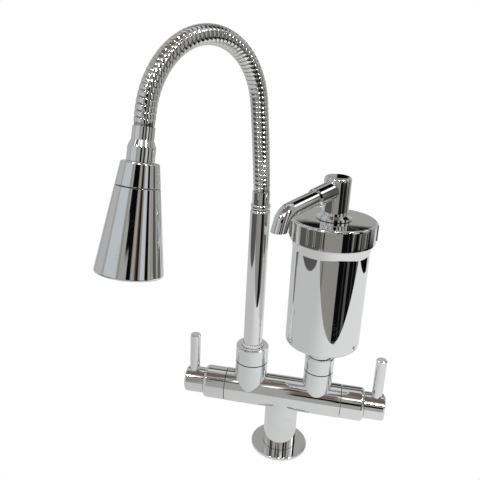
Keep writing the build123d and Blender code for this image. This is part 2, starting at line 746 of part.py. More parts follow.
with BuildPart() as head_cone:
    cone_start = collar_end + head_seam
    cone_between(cone_start, head_width(cone_start), head_end, head_width(head_end))
    fillet(head_cone.edges().filter_by(GeomType.CIRCLE).sort_by(along_head)[-1], head_rim_round)
    fillet(head_cone.edges().filter_by(GeomType.CIRCLE).sort_by(along_head)[0], head_seam_round)
    cone_between(cone_start, head_width(cone_start) - 2 * head_wall, head_end,
                 head_width(head_end) - 2 * head_wall, Mode.SUBTRACT)
    round_bar(head_plane(cone_start), skirt_outer + 2 * joint_gap, skirt_length, Mode.SUBTRACT)
write_piece(head_cone, "head_cone")

with BuildPart() as spray_plate:
    cone_between(spray_plate_place, plate_diameter - 2 * press_gap,
                 spray_plate_place + spray_plate_thickness,
                 head_width(spray_plate_place + spray_plate_thickness) - 2 * head_wall - 2 * press_gap)
    with BuildSketch(head_plane(spray_plate_place)) as nozzles:
        Circle(spray_hole_diameter / 2)
        for ring, count in enumerate(spray_ring_counts, start=1):
            with PolarLocations(ring * spray_ring_step, count):
                Circle(spray_hole_diameter / 2)
    extrude(nozzles.sketch, amount=spray_plate_thickness, mode=Mode.SUBTRACT)
write_piece(spray_plate, "spray_plate")

# Right outlet: union nut, inlet stub and its seals
with BuildPart() as union_nut:
    make_nut(socket_offset, filter_socket_diameter, filter_nut_top, stub_diameter + 2 * joint_gap)
write_piece(union_nut, "union_nut")

with BuildPart() as inlet_stub:
    make_spigot(socket_offset, stub_diameter, housing_bottom, spigot_bore)
    shoulder_bottom = filter_nut_top + joint_gap
    round_ring(upright(socket_offset, shoulder_bottom), stub_shoulder_diameter, spigot_bore,
               housing_bottom - shoulder_bottom)
    round_ring(upright(socket_offset, housing_bottom), stub_tail_diameter, spigot_bore, housing_wall + stub_tail_rise)
write_piece(inlet_stub, "inlet_stub")

with BuildPart() as stub_seals:
    make_spigot_seals(socket_offset)
write_piece(stub_seals, "stub_seals")

# Filter housing: a deep-drawn cup with a rounded bottom edge, flared out just under the cap
with BuildPart() as filter_housing:
    round_bar(upright(socket_offset, housing_bottom), housing_diameter, housing_top - housing_bottom)
    with BuildSketch(Plane(origin=(socket_offset, 0, 0), x_dir=(1, 0, 0), z_dir=(0, -1, 0))):
        with BuildLine():
            bend = JernArc((housing_diameter / 2, flare_start), (0, 1), flare_bend_radius, -flare_angle)
            Polyline(bend @ 1, (flare_top_radius, flare_top), (housing_diameter / 2 - housing_wall / 2, flare_top),
                     (housing_diameter / 2 - housing_wall / 2, flare_start), bend @ 0)
        make_face()
    revolve(axis=Axis((socket_offset, 0, 0), (0, 0, 1)))
    fillet(filter_housing.edges().filter_by(GeomType.CIRCLE).sort_by(Axis.Z)[0], housing_bottom_round)
    round_bar(upright(socket_offset, housing_bottom + housing_wall), housing_diameter - 2 * housing_wall,
              housing_top - housing_bottom, Mode.SUBTRACT)
    round_bar(upright(socket_offset, housing_bottom), stub_tail_diameter + 2 * press_gap, housing_wall, Mode.SUBTRACT)
write_piece(filter_housing, "filter_housing")

with BuildPart() as housing_collar:
    round_ring(upright(socket_offset, flare_top), housing_collar_diameter, housing_diameter,
               housing_top - flare_top)
write_piece(housing_collar, "housing_collar")

# Filter block with its two caps
rim_bore = block_diameter + 2 * block_cap_rim_gap
with BuildPart() as filter_block:
    round_ring(upright(socket_offset, block_bottom), block_diameter, block_bore, block_height)
write_piece(filter_block, "filter_block")

with BuildPart() as block_bottom_cap:
    round_bar(upright(socket_offset, block_bottom - block_cap_thickness), block_cap_diameter,
              block_cap_thickness + block_cap_rim)
    round_bar(upright(socket_offset, block_bottom), rim_bore, block_cap_rim, Mode.SUBTRACT)
    foot_bottom = housing_bottom + housing_wall
    round_ring(upright(socket_offset, foot_bottom), block_foot_diameter, block_foot_diameter - block_foot_height,
               block_bottom - block_cap_thickness - foot_bottom)
    with BuildSketch(upright(socket_offset, foot_bottom)) as foot_slots:
        Rectangle(2 * block_foot_diameter, block_foot_height)
        Rectangle(block_foot_height, 2 * block_foot_diameter)
    extrude(foot_slots.sketch, amount=(block_bottom - block_cap_thickness - foot_bottom) / 2, mode=Mode.SUBTRACT)
write_piece(block_bottom_cap, "block_bottom_cap")

outlet_seal_bore = post_bore - 2 * outlet_seal_section - 2 * face_gap
with BuildPart() as block_top_cap:
    round_bar(upright(socket_offset, block_top - block_cap_rim), block_cap_diameter,
              block_cap_thickness + block_cap_rim)
    round_bar(upright(socket_offset, block_top - block_cap_rim), rim_bore, block_cap_rim, Mode.SUBTRACT)
    round_bar(upright(socket_offset, block_top), outlet_stub_diameter, stub_top - block_top)
    round_bar(upright(socket_offset, block_top), outlet_stub_bore, stub_top - block_top, Mode.SUBTRACT)
    seal_place = stub_top - 3 * outlet_seal_section
    round_ring(upright(socket_offset, seal_place), outlet_stub_diameter + outlet_seal_section,
               outlet_seal_bore - 2 * press_gap, outlet_seal_section + 2 * face_gap, Mode.SUBTRACT)
write_piece(block_top_cap, "block_top_cap")

with BuildPart() as outlet_stub_seal:
    seal_ring(upright(socket_offset, seal_place + face_gap + outlet_seal_section / 2),
              outlet_seal_bore, outlet_seal_section)
write_piece(outlet_stub_seal, "outlet_stub_seal")

# Screw cap with six groups of three finger ribs, and its seal
with BuildPart() as screw_cap:
    round_bar(upright(socket_offset, cap_bottom), cap_diameter, cap_top - cap_bottom)
    fillet(screw_cap.edges().filter_by(GeomType.CIRCLE).sort_by(Axis.Z)[-1], cap_top_round)
    chamfer(screw_cap.edges().filter_by(GeomType.CIRCLE).sort_by(Axis.Z)[0], cap_mouth_chamfer)
    rib_bottom = cap_top - grip_rib_drop - grip_rib_length
    rib_centre_radius = cap_diameter / 2 + grip_rib_proud - grip_rib_radius
    with BuildSketch(upright(socket_offset, rib_bottom)) as grip_ribs:
        for group in range(grip_group_count):
            for rib in range(grip_ribs_in_group):
                angle = grip_first_angle + group * 360 / grip_group_count + rib * grip_rib_angle
                with PolarLocations(rib_centre_radius, 1, start_angle=angle):
                    Circle(grip_rib_radius)
    extrude(grip_ribs.sketch, amount=grip_rib_length)
    round_bar(upright(socket_offset, cap_bottom), cap_bore, cap_inner_top - cap_bottom, Mode.SUBTRACT)
    round_bar(upright(socket_offset, cap_inner_top - cap_boss_drop), cap_boss_diameter, cap_boss_drop)
    round_bar(upright(socket_offset, cap_bottom), post_spigot_diameter + 2 * running_fit,
              cap_top - cap_bottom, Mode.SUBTRACT)
write_piece(screw_cap, "screw_cap")

with BuildPart() as cap_seal:
    round_ring(upright(socket_offset, housing_top + joint_gap), housing_diameter + cap_seal_width,
               housing_diameter - 2 * housing_wall - cap_seal_width, cap_inner_top - housing_top - joint_gap)
write_piece(cap_seal, "cap_seal")

# Drinking spout: washer, post, circlip, arm sleeve, bent tube and outlet insert
flange_slope_bottom = flange_bottom + post_flange_height
arm_out = Vector(cos(radians(arm_azimuth)), sin(radians(arm_azimuth)), 0)
arm_side = Vector(-sin(radians(arm_azimuth)), cos(radians(arm_azimuth)), 0)
arm_direction = arm_out * cos(radians(arm_slope)) - Vector(0, 0, 1) * sin(radians(arm_slope))
arm_root = Vector(socket_offset, 0, arm_height)


def arm_plane(distance):
    """The plane across the arm at that distance from the post's axis."""
    return Plane(origin=arm_root + arm_direction * distance, x_dir=arm_side, z_dir=arm_direction)


with BuildPart() as post_washer:
    round_ring(upright(socket_offset, cap_top + press_gap), post_washer_diameter,
               post_spigot_diameter + 2 * running_fit, post_washer_thickness - press_gap)
write_piece(post_washer, "post_washer")

with BuildPart() as spout_post:
    round_bar(upright(socket_offset, flange_bottom), post_flange_diameter, post_flange_height)
    with BuildSketch(upright(socket_offset, flange_slope_bottom), mode=Mode.PRIVATE) as slope_foot:
        Circle(post_flange_diameter / 2)
    with BuildSketch(upright(socket_offset, flange_slope_bottom + post_flange_slope_height),
                     mode=Mode.PRIVATE) as slope_head:
        Circle(post_diameter / 2)
    loft([slope_foot.sketch.face(), slope_head.sketch.face()])
    round_bar(upright(socket_offset, flange_slope_bottom), post_diameter, post_top - flange_slope_bottom)
    fillet(spout_post.edges().filter_by(GeomType.CIRCLE).sort_by(Axis.Z)[-1], post_top_round)
    round_bar(upright(socket_offset, post_spigot_bottom), post_spigot_diameter, flange_bottom - post_spigot_bottom)
    round_ring(upright(socket_offset, circlip_place), post_spigot_diameter + circlip_groove_depth,
               post_spigot_diameter - 2 * circlip_groove_depth, circlip_thickness + face_gap, Mode.SUBTRACT)
    round_bar(upright(socket_offset, post_spigot_bottom), post_bore, post_top - post_top_wall - post_spigot_bottom,
              Mode.SUBTRACT)
    round_bar(arm_plane(0), post_bore, post_diameter, Mode.SUBTRACT)
write_piece(spout_post, "spout_post")

with BuildPart() as post_circlip:
    round_ring(upright(socket_offset, circlip_place), circlip_diameter,
               post_spigot_diameter - 2 * circlip_groove_depth + 2 * press_gap, circlip_thickness)
    with BuildSketch(upright(socket_offset, circlip_place)) as opening:
        with Locations((circlip_diameter / 2, 0)):
            Rectangle(circlip_diameter, circlip_opening)
    extrude(opening.sketch, amount=circlip_thickness, mode=Mode.SUBTRACT)
write_piece(post_circlip, "post_circlip")

with BuildPart() as arm_sleeve:
    round_bar(arm_plane(0), arm_sleeve_diameter, arm_sleeve_end)
    chamfer(arm_sleeve.edges().filter_by(GeomType.CIRCLE).sort_by(
        lambda e: (e.center() - arm_root).dot(arm_direction))[-1], arm_sleeve_chamfer)
    round_bar(upright(socket_offset, post_spigot_bottom), post_diameter, post_top - post_spigot_bottom, Mode.SUBTRACT)
    round_bar(arm_plane(0), post_bore, arm_sleeve_end, Mode.SUBTRACT)
    round_bar(arm_plane(arm_seat), drink_tube_diameter + 2 * press_gap, arm_sleeve_end, Mode.SUBTRACT)
write_piece(arm_sleeve, "arm_sleeve")


def drink_line():
    """Adds the drinking spout's line: straight, one bend and a short straight tip, which is cut off level."""
    bend_start = arm_plane(drink_tube_straight)
    inward = bend_start.z_dir.cross(arm_side)
    if inward.Z > 0:
        inward = inward * -1
    centre = bend_start.origin + inward * drink_tube_bend_radius

    def on_bend(turn):
        return centre + (arm_direction * sin(turn) - inward * cos(turn)) * drink_tube_bend_radius

    turn = radians(drink_tube_bend_turn)
    tip_direction = arm_direction * cos(turn) + inward * sin(turn)
    Line(arm_plane(arm_seat).origin, bend_start.origin)
    ThreePointArc(bend_start.origin, on_bend(turn / 2), on_bend(turn))
    Line(on_bend(turn), on_bend(turn) + tip_direction * drink_tube_tip)
    return Plane(origin=on_bend(turn) + tip_direction * drink_tube_tip, x_dir=arm_side, z_dir=tip_direction)


with BuildPart() as drink_tube:
    with BuildLine() as tube_line:
        tip_plane = drink_line()
    with BuildSketch(arm_plane(arm_seat)) as tube_section:
        Circle(drink_tube_diameter / 2)
        Circle(drink_tube_diameter / 2 - drink_tube_wall, mode=Mode.SUBTRACT)
    sweep(tube_section.sketch, path=tube_line.wire())
    tip_lean = radians(90 - arm_slope - drink_tube_bend_turn)
    split(bisect_by=Plane.XY.offset(tip_plane.origin.Z + drink_tube_diameter / 2 * sin(tip_lean)), keep=Keep.TOP)
write_piece(drink_tube, "drink_tube")

with BuildPart() as outlet_insert:
    round_bar(tip_plane.offset(-insert_inset - insert_thickness),
              drink_tube_diameter - 2 * drink_tube_wall - 2 * press_gap, insert_thickness)
    with BuildSketch(tip_plane.offset(-insert_inset - insert_thickness)) as jets:
        Circle(insert_hole_diameter / 2)
        with PolarLocations(insert_hole_offset, insert_hole_count):
            Circle(insert_hole_diameter / 2)
    extrude(jets.sketch, amount=insert_thickness, mode=Mode.SUBTRACT)
write_piece(outlet_insert, "outlet_insert")
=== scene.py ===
"""Looks of a two-lever drinking water tap with a gooseneck spray and an on-line filter.

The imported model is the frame. This file gives each piece its finish, winds the ribbed metal hose and sets
up the table, the boards that the chrome mirrors, the lamps and the camera. Metres, +Z up.
"""
import math

import bpy
from bpy.props import FloatProperty, FloatVectorProperty, IntProperty, PointerProperty
from mathutils import Matrix, Vector


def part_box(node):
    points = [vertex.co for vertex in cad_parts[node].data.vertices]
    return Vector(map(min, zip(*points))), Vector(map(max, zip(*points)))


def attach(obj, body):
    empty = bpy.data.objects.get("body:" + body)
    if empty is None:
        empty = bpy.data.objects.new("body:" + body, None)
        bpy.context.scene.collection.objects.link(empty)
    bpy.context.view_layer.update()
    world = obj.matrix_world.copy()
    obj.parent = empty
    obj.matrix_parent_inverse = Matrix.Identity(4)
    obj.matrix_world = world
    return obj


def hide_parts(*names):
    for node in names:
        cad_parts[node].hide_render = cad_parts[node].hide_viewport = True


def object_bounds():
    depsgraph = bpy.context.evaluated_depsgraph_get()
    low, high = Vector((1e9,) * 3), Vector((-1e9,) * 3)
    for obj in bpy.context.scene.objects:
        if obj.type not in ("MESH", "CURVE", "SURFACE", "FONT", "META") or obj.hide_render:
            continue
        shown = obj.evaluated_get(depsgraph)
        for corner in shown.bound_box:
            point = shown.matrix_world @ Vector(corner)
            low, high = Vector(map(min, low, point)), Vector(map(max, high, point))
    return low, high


bl_info = {
    "name": "Drinking Water Tap",
    "version": (1, 0, 0),
    "blender": (4, 5, 0),
    "location": "View3D > Sidebar > Tap",
    "description": "Dresses a chrome drinking water tap with a ribbed gooseneck and a filter canister",
    "category": "Object",
}

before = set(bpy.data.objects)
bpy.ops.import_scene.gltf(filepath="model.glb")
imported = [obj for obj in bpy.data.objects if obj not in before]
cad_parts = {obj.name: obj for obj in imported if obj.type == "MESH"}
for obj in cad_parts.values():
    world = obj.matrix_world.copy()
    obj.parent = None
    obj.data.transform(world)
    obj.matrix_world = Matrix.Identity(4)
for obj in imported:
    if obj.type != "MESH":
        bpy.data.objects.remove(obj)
CAD_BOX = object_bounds()

# Groups of pieces that share a finish
CHROME_PIECES = (
    "base_flange", "tap_body", "spout_nut", "union_nut", "riser_tube",
    "lower_ferrule", "upper_ferrule", "head_neck", "head_collar", "head_cone",
    "inlet_stub", "filter_housing", "housing_collar", "screw_cap", "spout_post",
    "arm_sleeve", "drink_tube",
    "left_bonnet_sleeve", "left_lever_hub", "left_lever_rod",
    "right_bonnet_sleeve", "right_lever_hub", "right_lever_rod",
)
BRASS_PIECES = (
    "left_valve_housing", "left_spindle", "right_valve_housing", "right_spindle", "spout_spigot",
)
STEEL_PIECES = ("left_grub_screw", "right_grub_screw", "post_circlip")
RUBBER_PIECES = (
    "base_seal", "left_seat_washer", "left_spindle_seals", "right_seat_washer", "right_spindle_seals",
    "spout_seals", "head_seal", "stub_seals", "outlet_stub_seal", "cap_seal",
)
CERAMIC_PIECES = ("left_fixed_disc", "left_turning_disc", "right_fixed_disc", "right_turning_disc")
WHITE_PLASTIC_PIECES = (
    "slip_sleeve", "riser_trim_ring", "block_bottom_cap", "block_top_cap", "post_washer", "spray_body",
)
GREY_PLASTIC_PIECES = ("spray_plate", "outlet_insert")
LINER_PIECES = ("hose_liner",)
FILTER_PIECES = ("filter_block",)


class TapFinish(bpy.types.PropertyGroup):
    """Colours and polish of the tap's finishes"""

    chrome_tint: FloatVectorProperty(
        name="Chrome tint", description="Colour of the chrome plating",
        default=(0.90, 0.905, 0.91), subtype="COLOR", min=0, max=1)
    chrome_roughness: FloatProperty(
        name="Chrome roughness", description="Roughness of freshly wiped chrome",
        default=0.025, subtype="FACTOR", min=0, max=1)
    smudge_roughness: FloatProperty(
        name="Smudge roughness", description="Roughness that finger marks add to the chrome",
        default=0.05, subtype="FACTOR", min=0, max=1)
    smudge_size: FloatProperty(
        name="Smudge size", description="Width of a finger mark",
        default=0.018, unit="LENGTH", min=0.001)
    ripple_height: FloatProperty(
        name="Ripple height", description="Depth of the polishing waves under the plating",
        default=0.000004, unit="LENGTH", min=0)
    # Width of the painted shade, with dirt, that darkens seams and corners
    seam_reach: FloatProperty(
        name="Seam reach", description="How wide the painted shade and dirt in seams and corners are",
        default=0.0014, unit="LENGTH", min=0.0001)
    # Strength of the painted shade, with dirt, in the chrome's seams
    seam_shade_and_dirt: FloatProperty(
        name="Seam shade and dirt", description="How strongly the painted shade and dirt darken the chrome in seams",
        default=0.92, subtype="FACTOR", min=0, max=1)
    # Strength of the painted shade, with dirt, in the hose's winding groove
    groove_shade_and_dirt: FloatProperty(
        name="Groove shade and dirt", description="How strongly the painted shade and dirt darken the hose's winding groove",
        default=0.45, subtype="FACTOR", min=0, max=1)
    steel_tint: FloatVectorProperty(
        name="Steel tint", description="Colour of the hose's bare steel strip",
        default=(0.88, 0.88, 0.87), subtype="COLOR", min=0, max=1)
    brass_tint: FloatVectorProperty(
        name="Brass tint", description="Colour of the turned brass",
        default=(0.78, 0.57, 0.26), subtype="COLOR", min=0, max=1)
    rubber_tint: FloatVectorProperty(
        name="Rubber tint", description="Colour of the seals",
        default=(0.012, 0.012, 0.013), subtype="COLOR", min=0, max=1)
    ceramic_tint: FloatVectorProperty(
        name="Ceramic tint", description="Colour of the valve discs",
        default=(0.82, 0.79, 0.72), subtype="COLOR", min=0, max=1)
    white_plastic_tint: FloatVectorProperty(
        name="White plastic tint", description="Colour of the moulded inner parts",
        default=(0.80, 0.80, 0.78), subtype="COLOR", min=0, max=1)
    grey_plastic_tint: FloatVectorProperty(
        name="Grey plastic tint", description="Colour of the spray plate and outlet insert",
        default=(0.22, 0.22, 0.23), subtype="COLOR", min=0, max=1)
    liner_tint: FloatVectorProperty(
        name="Liner tint", description="Colour of the water tube in the hose",
        default=(0.60, 0.62, 0.64), subtype="COLOR", min=0, max=1)
    filter_tint: FloatVectorProperty(
        name="Filter tint", description="Colour of the pressed carbon block",
        default=(0.028, 0.027, 0.026), subtype="COLOR", min=0, max=1)


class TapHose(bpy.types.PropertyGroup):
    """Sizes of the strip-wound gooseneck hose"""

    outer_diameter: FloatProperty(
        name="Outer diameter", description="Diameter over the ribs", default=0.01335, unit="LENGTH")
    valley_diameter: FloatProperty(
        name="Valley diameter", description="Diameter in the grooves", default=0.0124, unit="LENGTH")
    tail_diameter: FloatProperty(
        name="Tail diameter", description="Diameter inside the ferrules", default=0.012, unit="LENGTH")
    tail_length: FloatProperty(
        name="Tail length", description="Length hidden in each ferrule", default=0.008, unit="LENGTH")
    rib_pitch: FloatProperty(
        name="Rib pitch", description="Distance from one turn of the strip to the next",
        default=0.00372, unit="LENGTH")
    crest_share: FloatProperty(
        name="Crest share", description="Share of the pitch that the raised band takes",
        default=0.86, subtype="FACTOR", min=0.1, max=1)
    around: IntProperty(
        name="Steps around", description="Mesh steps around the hose", default=48, min=12)
    along: IntProperty(
        name="Steps a rib", description="Mesh steps along each rib", default=18, min=6)


class TapStudio(bpy.types.PropertyGroup):
    """Camera, table, surround and lamps"""

    camera_place: FloatVectorProperty(
        name="Camera place", description="Where the camera stands",
        default=(0.034788, -0.425567, 0.341243), subtype="TRANSLATION", unit="LENGTH")
    camera_yaw: FloatProperty(
        name="Camera yaw", description="Turn of the camera, 0 looks along +Y",
        default=math.radians(-10.586), subtype="ANGLE")
    camera_pitch: FloatProperty(
        name="Camera pitch", description="How far the camera looks down",
        default=math.radians(19.112), subtype="ANGLE")
    camera_roll: FloatProperty(
        name="Camera roll", description="Tilt of the camera about its own axis",
        default=math.radians(2.649), subtype="ANGLE")
    lens: FloatProperty(
        name="Lens", description="Focal length in millimetres on a 36 mm sensor", default=41.876)
    table_glow: FloatProperty(
        name="Table glow", description="Brightness of the white table on the canister's side",
        default=0.74, subtype="FACTOR")
    table_shade: FloatProperty(
        name="Table shade", description="Brightness of the white table on the gooseneck's side",
        default=0.53, subtype="FACTOR")
    surround_glow: FloatProperty(
        name="Surround glow", description="Brightness of the boards that the chrome mirrors",
        default=1.0)
    lamp_power: FloatProperty(
        name="Lamp power", description="Power of each small lamp in watts", default=4.5)
    lamp_size: FloatProperty(
        name="Lamp size", description="Width of each small lamp", default=0.14, unit="LENGTH")
    lamp_distance: FloatProperty(
        name="Lamp distance", description="How far the lamps are from the tap", default=1.3, unit="LENGTH")


NODE_SPACING = 180

# Places of a Mix node's two colours among its inputs and of their mix among its outputs
MIX_UNDER = 6
MIX_OVER = 7
MIX_RESULT = 2


class Board:
    """Adds nodes to one node tree and joins their sockets"""

    def __init__(self, tree):
        self.tree = tree

    def node(self, kind, **settings):
        """Adds a node of this kind with these settings."""
        made = self.tree.nodes.new(kind)
        made.location.x = NODE_SPACING * len(self.tree.nodes)
        for name, value in settings.items():
            setattr(made, name, value)
        return made

    def feed(self, socket, value):
        """Links an output to the socket, or sets a plain value on it."""
        if isinstance(value, bpy.types.NodeSocket):
            self.tree.links.new(value, socket)
        elif value is not None:
            socket.default_value = value

    def feed_named(self, made, values):
        """Feeds the node's inputs by name."""
        for name, given in values.items():
            self.feed(made.inputs[name], given)

    def math(self, operation, first, second=None, third=None, clamp=False):
        """One step of arithmetic."""
        made = self.node("ShaderNodeMath", operation=operation, use_clamp=clamp)
        for socket, value in zip(made.inputs, (first, second, third)):
            self.feed(socket, value)
        return made.outputs[0]

    def remap(self, value, low, high, out_low=0.0, out_high=1.0):
        """Carries low to high over to out_low to out_high with soft ends."""
        made = self.node("ShaderNodeMapRange", interpolation_type="SMOOTHSTEP")
        self.feed_named(made, {
            "Value": value, "From Min": low, "From Max": high, "To Min": out_low, "To Max": out_high})
        return made.outputs["Result"]

    def blend(self, mask, under, over):
        """Lays one colour over another where the mask is 1."""
        made = self.node("ShaderNodeMix", data_type="RGBA")
        self.feed(made.inputs["Factor"], mask)
        self.feed(made.inputs[MIX_UNDER], under)
        self.feed(made.inputs[MIX_OVER], over)
        return made.outputs[MIX_RESULT]

    def noise(self, place, scale, detail, roughness):
        """Cloudy noise from 0 to 1."""
        made = self.node("ShaderNodeTexNoise")
        self.feed_named(made, {"Vector": place, "Scale": scale, "Detail": detail, "Roughness": roughness})
        return made.outputs["Fac"]

    def bump(self, height, distance):
        """A surface normal from a height, which rises by this distance at 1."""
        made = self.node("ShaderNodeBump")
        self.feed_named(made, {"Height": height, "Distance": distance})
        return made.outputs["Normal"]

    def group(self, tree, **values):
        """Places a node group and feeds its named inputs."""
        made = self.node("ShaderNodeGroup", node_tree=tree)
        self.feed_named(made, {name.replace("_", " "): given for name, given in values.items()})
        return made


def new_group(name, inputs, outputs):
    """Makes an empty node group and returns it with its board, input node and output node."""
    tree = bpy.data.node_groups.new(name, "ShaderNodeTree")
    for label, kind, default in inputs:
        socket = tree.interface.new_socket(label, in_out="INPUT", socket_type=kind)
        socket.default_value = default
    for label, kind in outputs:
        tree.interface.new_socket(label, in_out="OUTPUT", socket_type=kind)
    board = Board(tree)
    return tree, board, board.node("NodeGroupInput").outputs, board.node("NodeGroupOutput").inputs


# Detail and roughness of the noise behind each mark, grain and change of tone
BLOTCH_NOISE = (5.0, 0.62)
PRINT_NOISE = (3.0, 0.6)
HAIRLINE_NOISE = (1.0, 0.4)
WAVE_NOISE = (2.0, 0.5)
GRAIN_NOISE = (3.0, 0.6)
TONE_NOISE = (4.0, 0.55)

# Values of the noise between which a smudge, and the fine prints in it, fade in
BLOTCH_EDGES = (0.52, 0.68)
PRINT_EDGES = (0.35, 0.65)

# Fine prints and polishing waves to one smudge
PRINTS_PER_BLOTCH = 9.0
WAVES_PER_BLOTCH = 1.6

# Turn and size of the noise's long cells that the hairlines run along, and how much of it a line takes
HAIRLINE_TURN = (0.5, 0.7, 0.2)
HAIRLINE_SIZE = (0.0009, 0.02, 0.02)
HAIRLINE_WIDTH = 0.006

# How open a corner is where the painted shade and dirt begin and where they are full
SHADE_OPENNESS = (0.72, 0.38)
SHADE_SAMPLES = 6


def hand_marks_group():
    """Finger smudges, hairline scratches and polishing waves on polished metal."""
    tree, board, given, put = new_group(
        "Hand marks",
        (("Size", "NodeSocketFloat", 0.018), ("Shift", "NodeSocketFloat", 0.0)),
        (("Smudge", "NodeSocketFloat"), ("Scratch", "NodeSocketFloat"), ("Waves", "NodeSocketFloat")))
    place = board.node("ShaderNodeTexCoord").outputs["Object"]
    moved = board.node("ShaderNodeVectorMath", operation="ADD")
    board.feed(moved.inputs[0], place)
    board.feed(moved.inputs[1], given["Shift"])
    blotch_scale = board.math("DIVIDE", 1.0, given["Size"])
    blotch = board.noise(moved.outputs[0], blotch_scale, *BLOTCH_NOISE)
    fine_scale = board.math("MULTIPLY", blotch_scale, PRINTS_PER_BLOTCH)
    fine = board.noise(moved.outputs[0], fine_scale, *PRINT_NOISE)
    patch = board.remap(blotch, *BLOTCH_EDGES)
    board.feed(put["Smudge"], board.math("MULTIPLY", patch, board.remap(fine, *PRINT_EDGES)))
    stretch = board.node("ShaderNodeMapping", vector_type="TEXTURE")
    board.feed_named(stretch, {
        "Vector": moved.outputs[0], "Rotation": HAIRLINE_TURN, "Scale": HAIRLINE_SIZE})
    hair = board.noise(stretch.outputs["Vector"], 1.0, *HAIRLINE_NOISE)
    line = board.remap(board.math("ABSOLUTE", board.math("SUBTRACT", hair, 0.5)), HAIRLINE_WIDTH, 0.0)
    board.feed(put["Scratch"], board.math("MULTIPLY", line, patch))
    wave_scale = board.math("MULTIPLY", blotch_scale, WAVES_PER_BLOTCH)
    board.feed(put["Waves"], board.noise(moved.outputs[0], wave_scale, *WAVE_NOISE))
    return tree


def shade_and_dirt_group():
    """Painted shade, with dirt, that darkens seams, grooves and tight corners where they are sheltered."""
    tree, board, given, put = new_group(
        "Seam film",
        (("Reach", "NodeSocketFloat", 0.0012), ("Dirt", "NodeSocketFloat", 0.85)),
        (("Film", "NodeSocketFloat"),))
    # Painted shade, with dirt: the more a point is sheltered by nearby surfaces, the darker it is painted
    shelter = board.node("ShaderNodeAmbientOcclusion", samples=SHADE_SAMPLES)
    board.feed(shelter.inputs["Distance"], given["Reach"])
    sheltered = board.remap(shelter.outputs["AO"], *SHADE_OPENNESS)
    board.feed(put["Film"], board.math("MULTIPLY", sheltered, given["Dirt"]))
    return tree


def grain_group():
    """Fine moulded or pressed grain with slow changes of tone."""
    tree, board, given, put = new_group(
        "Grain",
        (("Grain size", "NodeSocketFloat", 0.0006), ("Tone size", "NodeSocketFloat", 0.02)),
        (("Grain", "NodeSocketFloat"), ("Tone", "NodeSocketFloat")))
    place = board.node("ShaderNodeTexCoord").outputs["Object"]
    for label, kind in (("Grain", GRAIN_NOISE), ("Tone", TONE_NOISE)):
        scale = board.math("DIVIDE", 1.0, given[f"{label} size"])
        board.feed(put[label], board.noise(place, scale, *kind))
    return tree


def board_mask_group():
    """Mask of one board of the surround, by compass direction and height in degrees."""
    tree, board, given, put = new_group(
        "Surround board",
        [(label, "NodeSocketFloat", 0.0) for label in ("Heading", "Height", "Left", "Right", "Bottom", "Top")]
        + [("Soft", "NodeSocketFloat", 1.0)],
        (("Mask", "NodeSocketFloat"),))
    depths = [
        board.math("MINIMUM", board.math("SUBTRACT", given[place], given[low]),
                   board.math("SUBTRACT", given[high], given[place]))
        for place, low, high in (("Heading", "Left", "Right"), ("Height", "Bottom", "Top"))]
    inside = board.math("DIVIDE", board.math("MINIMUM", *depths), given["Soft"])
    board.feed(put["Mask"], board.math("ADD", inside, 0.5, clamp=True))
    return tree


def new_material(name):
    """A material whose tree holds only a Principled shader, with its board and the shader's inputs."""
    material = bpy.data.materials.new(name)
    material.use_nodes = True
    material.node_tree.nodes.clear()
    board = Board(material.node_tree)
    shader = board.node("ShaderNodeBsdfPrincipled")
    output = board.node("ShaderNodeOutputMaterial")
    board.feed(output.inputs["Surface"], shader.outputs["BSDF"])
    return material, board, shader.inputs


def with_alpha(tint):
    """The tint as an opaque colour."""
    return (*tint, 1.0)


def scaled(tint, factor):
    """The tint made darker or lighter."""
    return tuple(min(1.0, channel * factor) for channel in tint)


def dress(names, material):
    """Gives the frame's pieces of these names the material."""
    for name in names:
        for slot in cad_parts[name].material_slots:
            slot.material = material


# Tone of the painted shade and dirt in seams, of a smudge and of a hairline against the bare metal
SHADE_AND_DIRT_TONE = 0.03
SMUDGE_TONE = 0.96
SCRATCH_TONE = 0.7

# Roughness that a hairline adds
SCRATCH_ROUGHNESS = 0.2


def polished_metal(name, tint, roughness, marks, shade_and_dirt, finish, shift=0.0, reach=1.0, groove=None):
    """A bright plated metal with smudges, hairlines, slight polishing waves and painted shade with dirt in
    its seams.

    Where groove names a point attribute of the mesh, the painted shade and dirt lie in those grooves too.
    """
    material, board, shader = new_material(name)
    hand = board.group(marks, Size=finish.smudge_size, Shift=shift)
    # Painted shade, with dirt, where the seams are sheltered
    seam = board.group(shade_and_dirt, Reach=finish.seam_reach * reach, Dirt=finish.seam_shade_and_dirt).outputs["Film"]
    shader["Metallic"].default_value = 1.0
    dull = board.blend(hand.outputs["Smudge"], with_alpha(tint), with_alpha(scaled(tint, SMUDGE_TONE)))
    worn = board.blend(hand.outputs["Scratch"], dull, with_alpha(scaled(tint, SCRATCH_TONE)))
    # Painted shade, with dirt, in the winding groove too, by how deep each point lies in it
    if groove:
        depth = board.node("ShaderNodeAttribute", attribute_name=groove).outputs["Fac"]
        seam = board.math("MAXIMUM", seam, board.math("MULTIPLY", depth, finish.groove_shade_and_dirt))
    # Where the painted shade and dirt lie, the colour goes down to their dark tone
    board.feed(shader["Base Color"], board.blend(seam, worn, with_alpha(scaled(tint, SHADE_AND_DIRT_TONE))))
    smudged = board.math("MULTIPLY_ADD", hand.outputs["Smudge"], finish.smudge_roughness, roughness)
    board.feed(shader["Roughness"], board.math(
        "MULTIPLY_ADD", hand.outputs["Scratch"], SCRATCH_ROUGHNESS, smudged))
    board.feed(shader["Normal"], board.bump(hand.outputs["Waves"], finish.ripple_height))
    return material


# Values of the noise at a bulk material's smoothest and roughest spots, and their roughness to its own
TONE_EDGES = (0.2, 0.8)
BULK_ROUGHNESS = (0.85, 1.15)


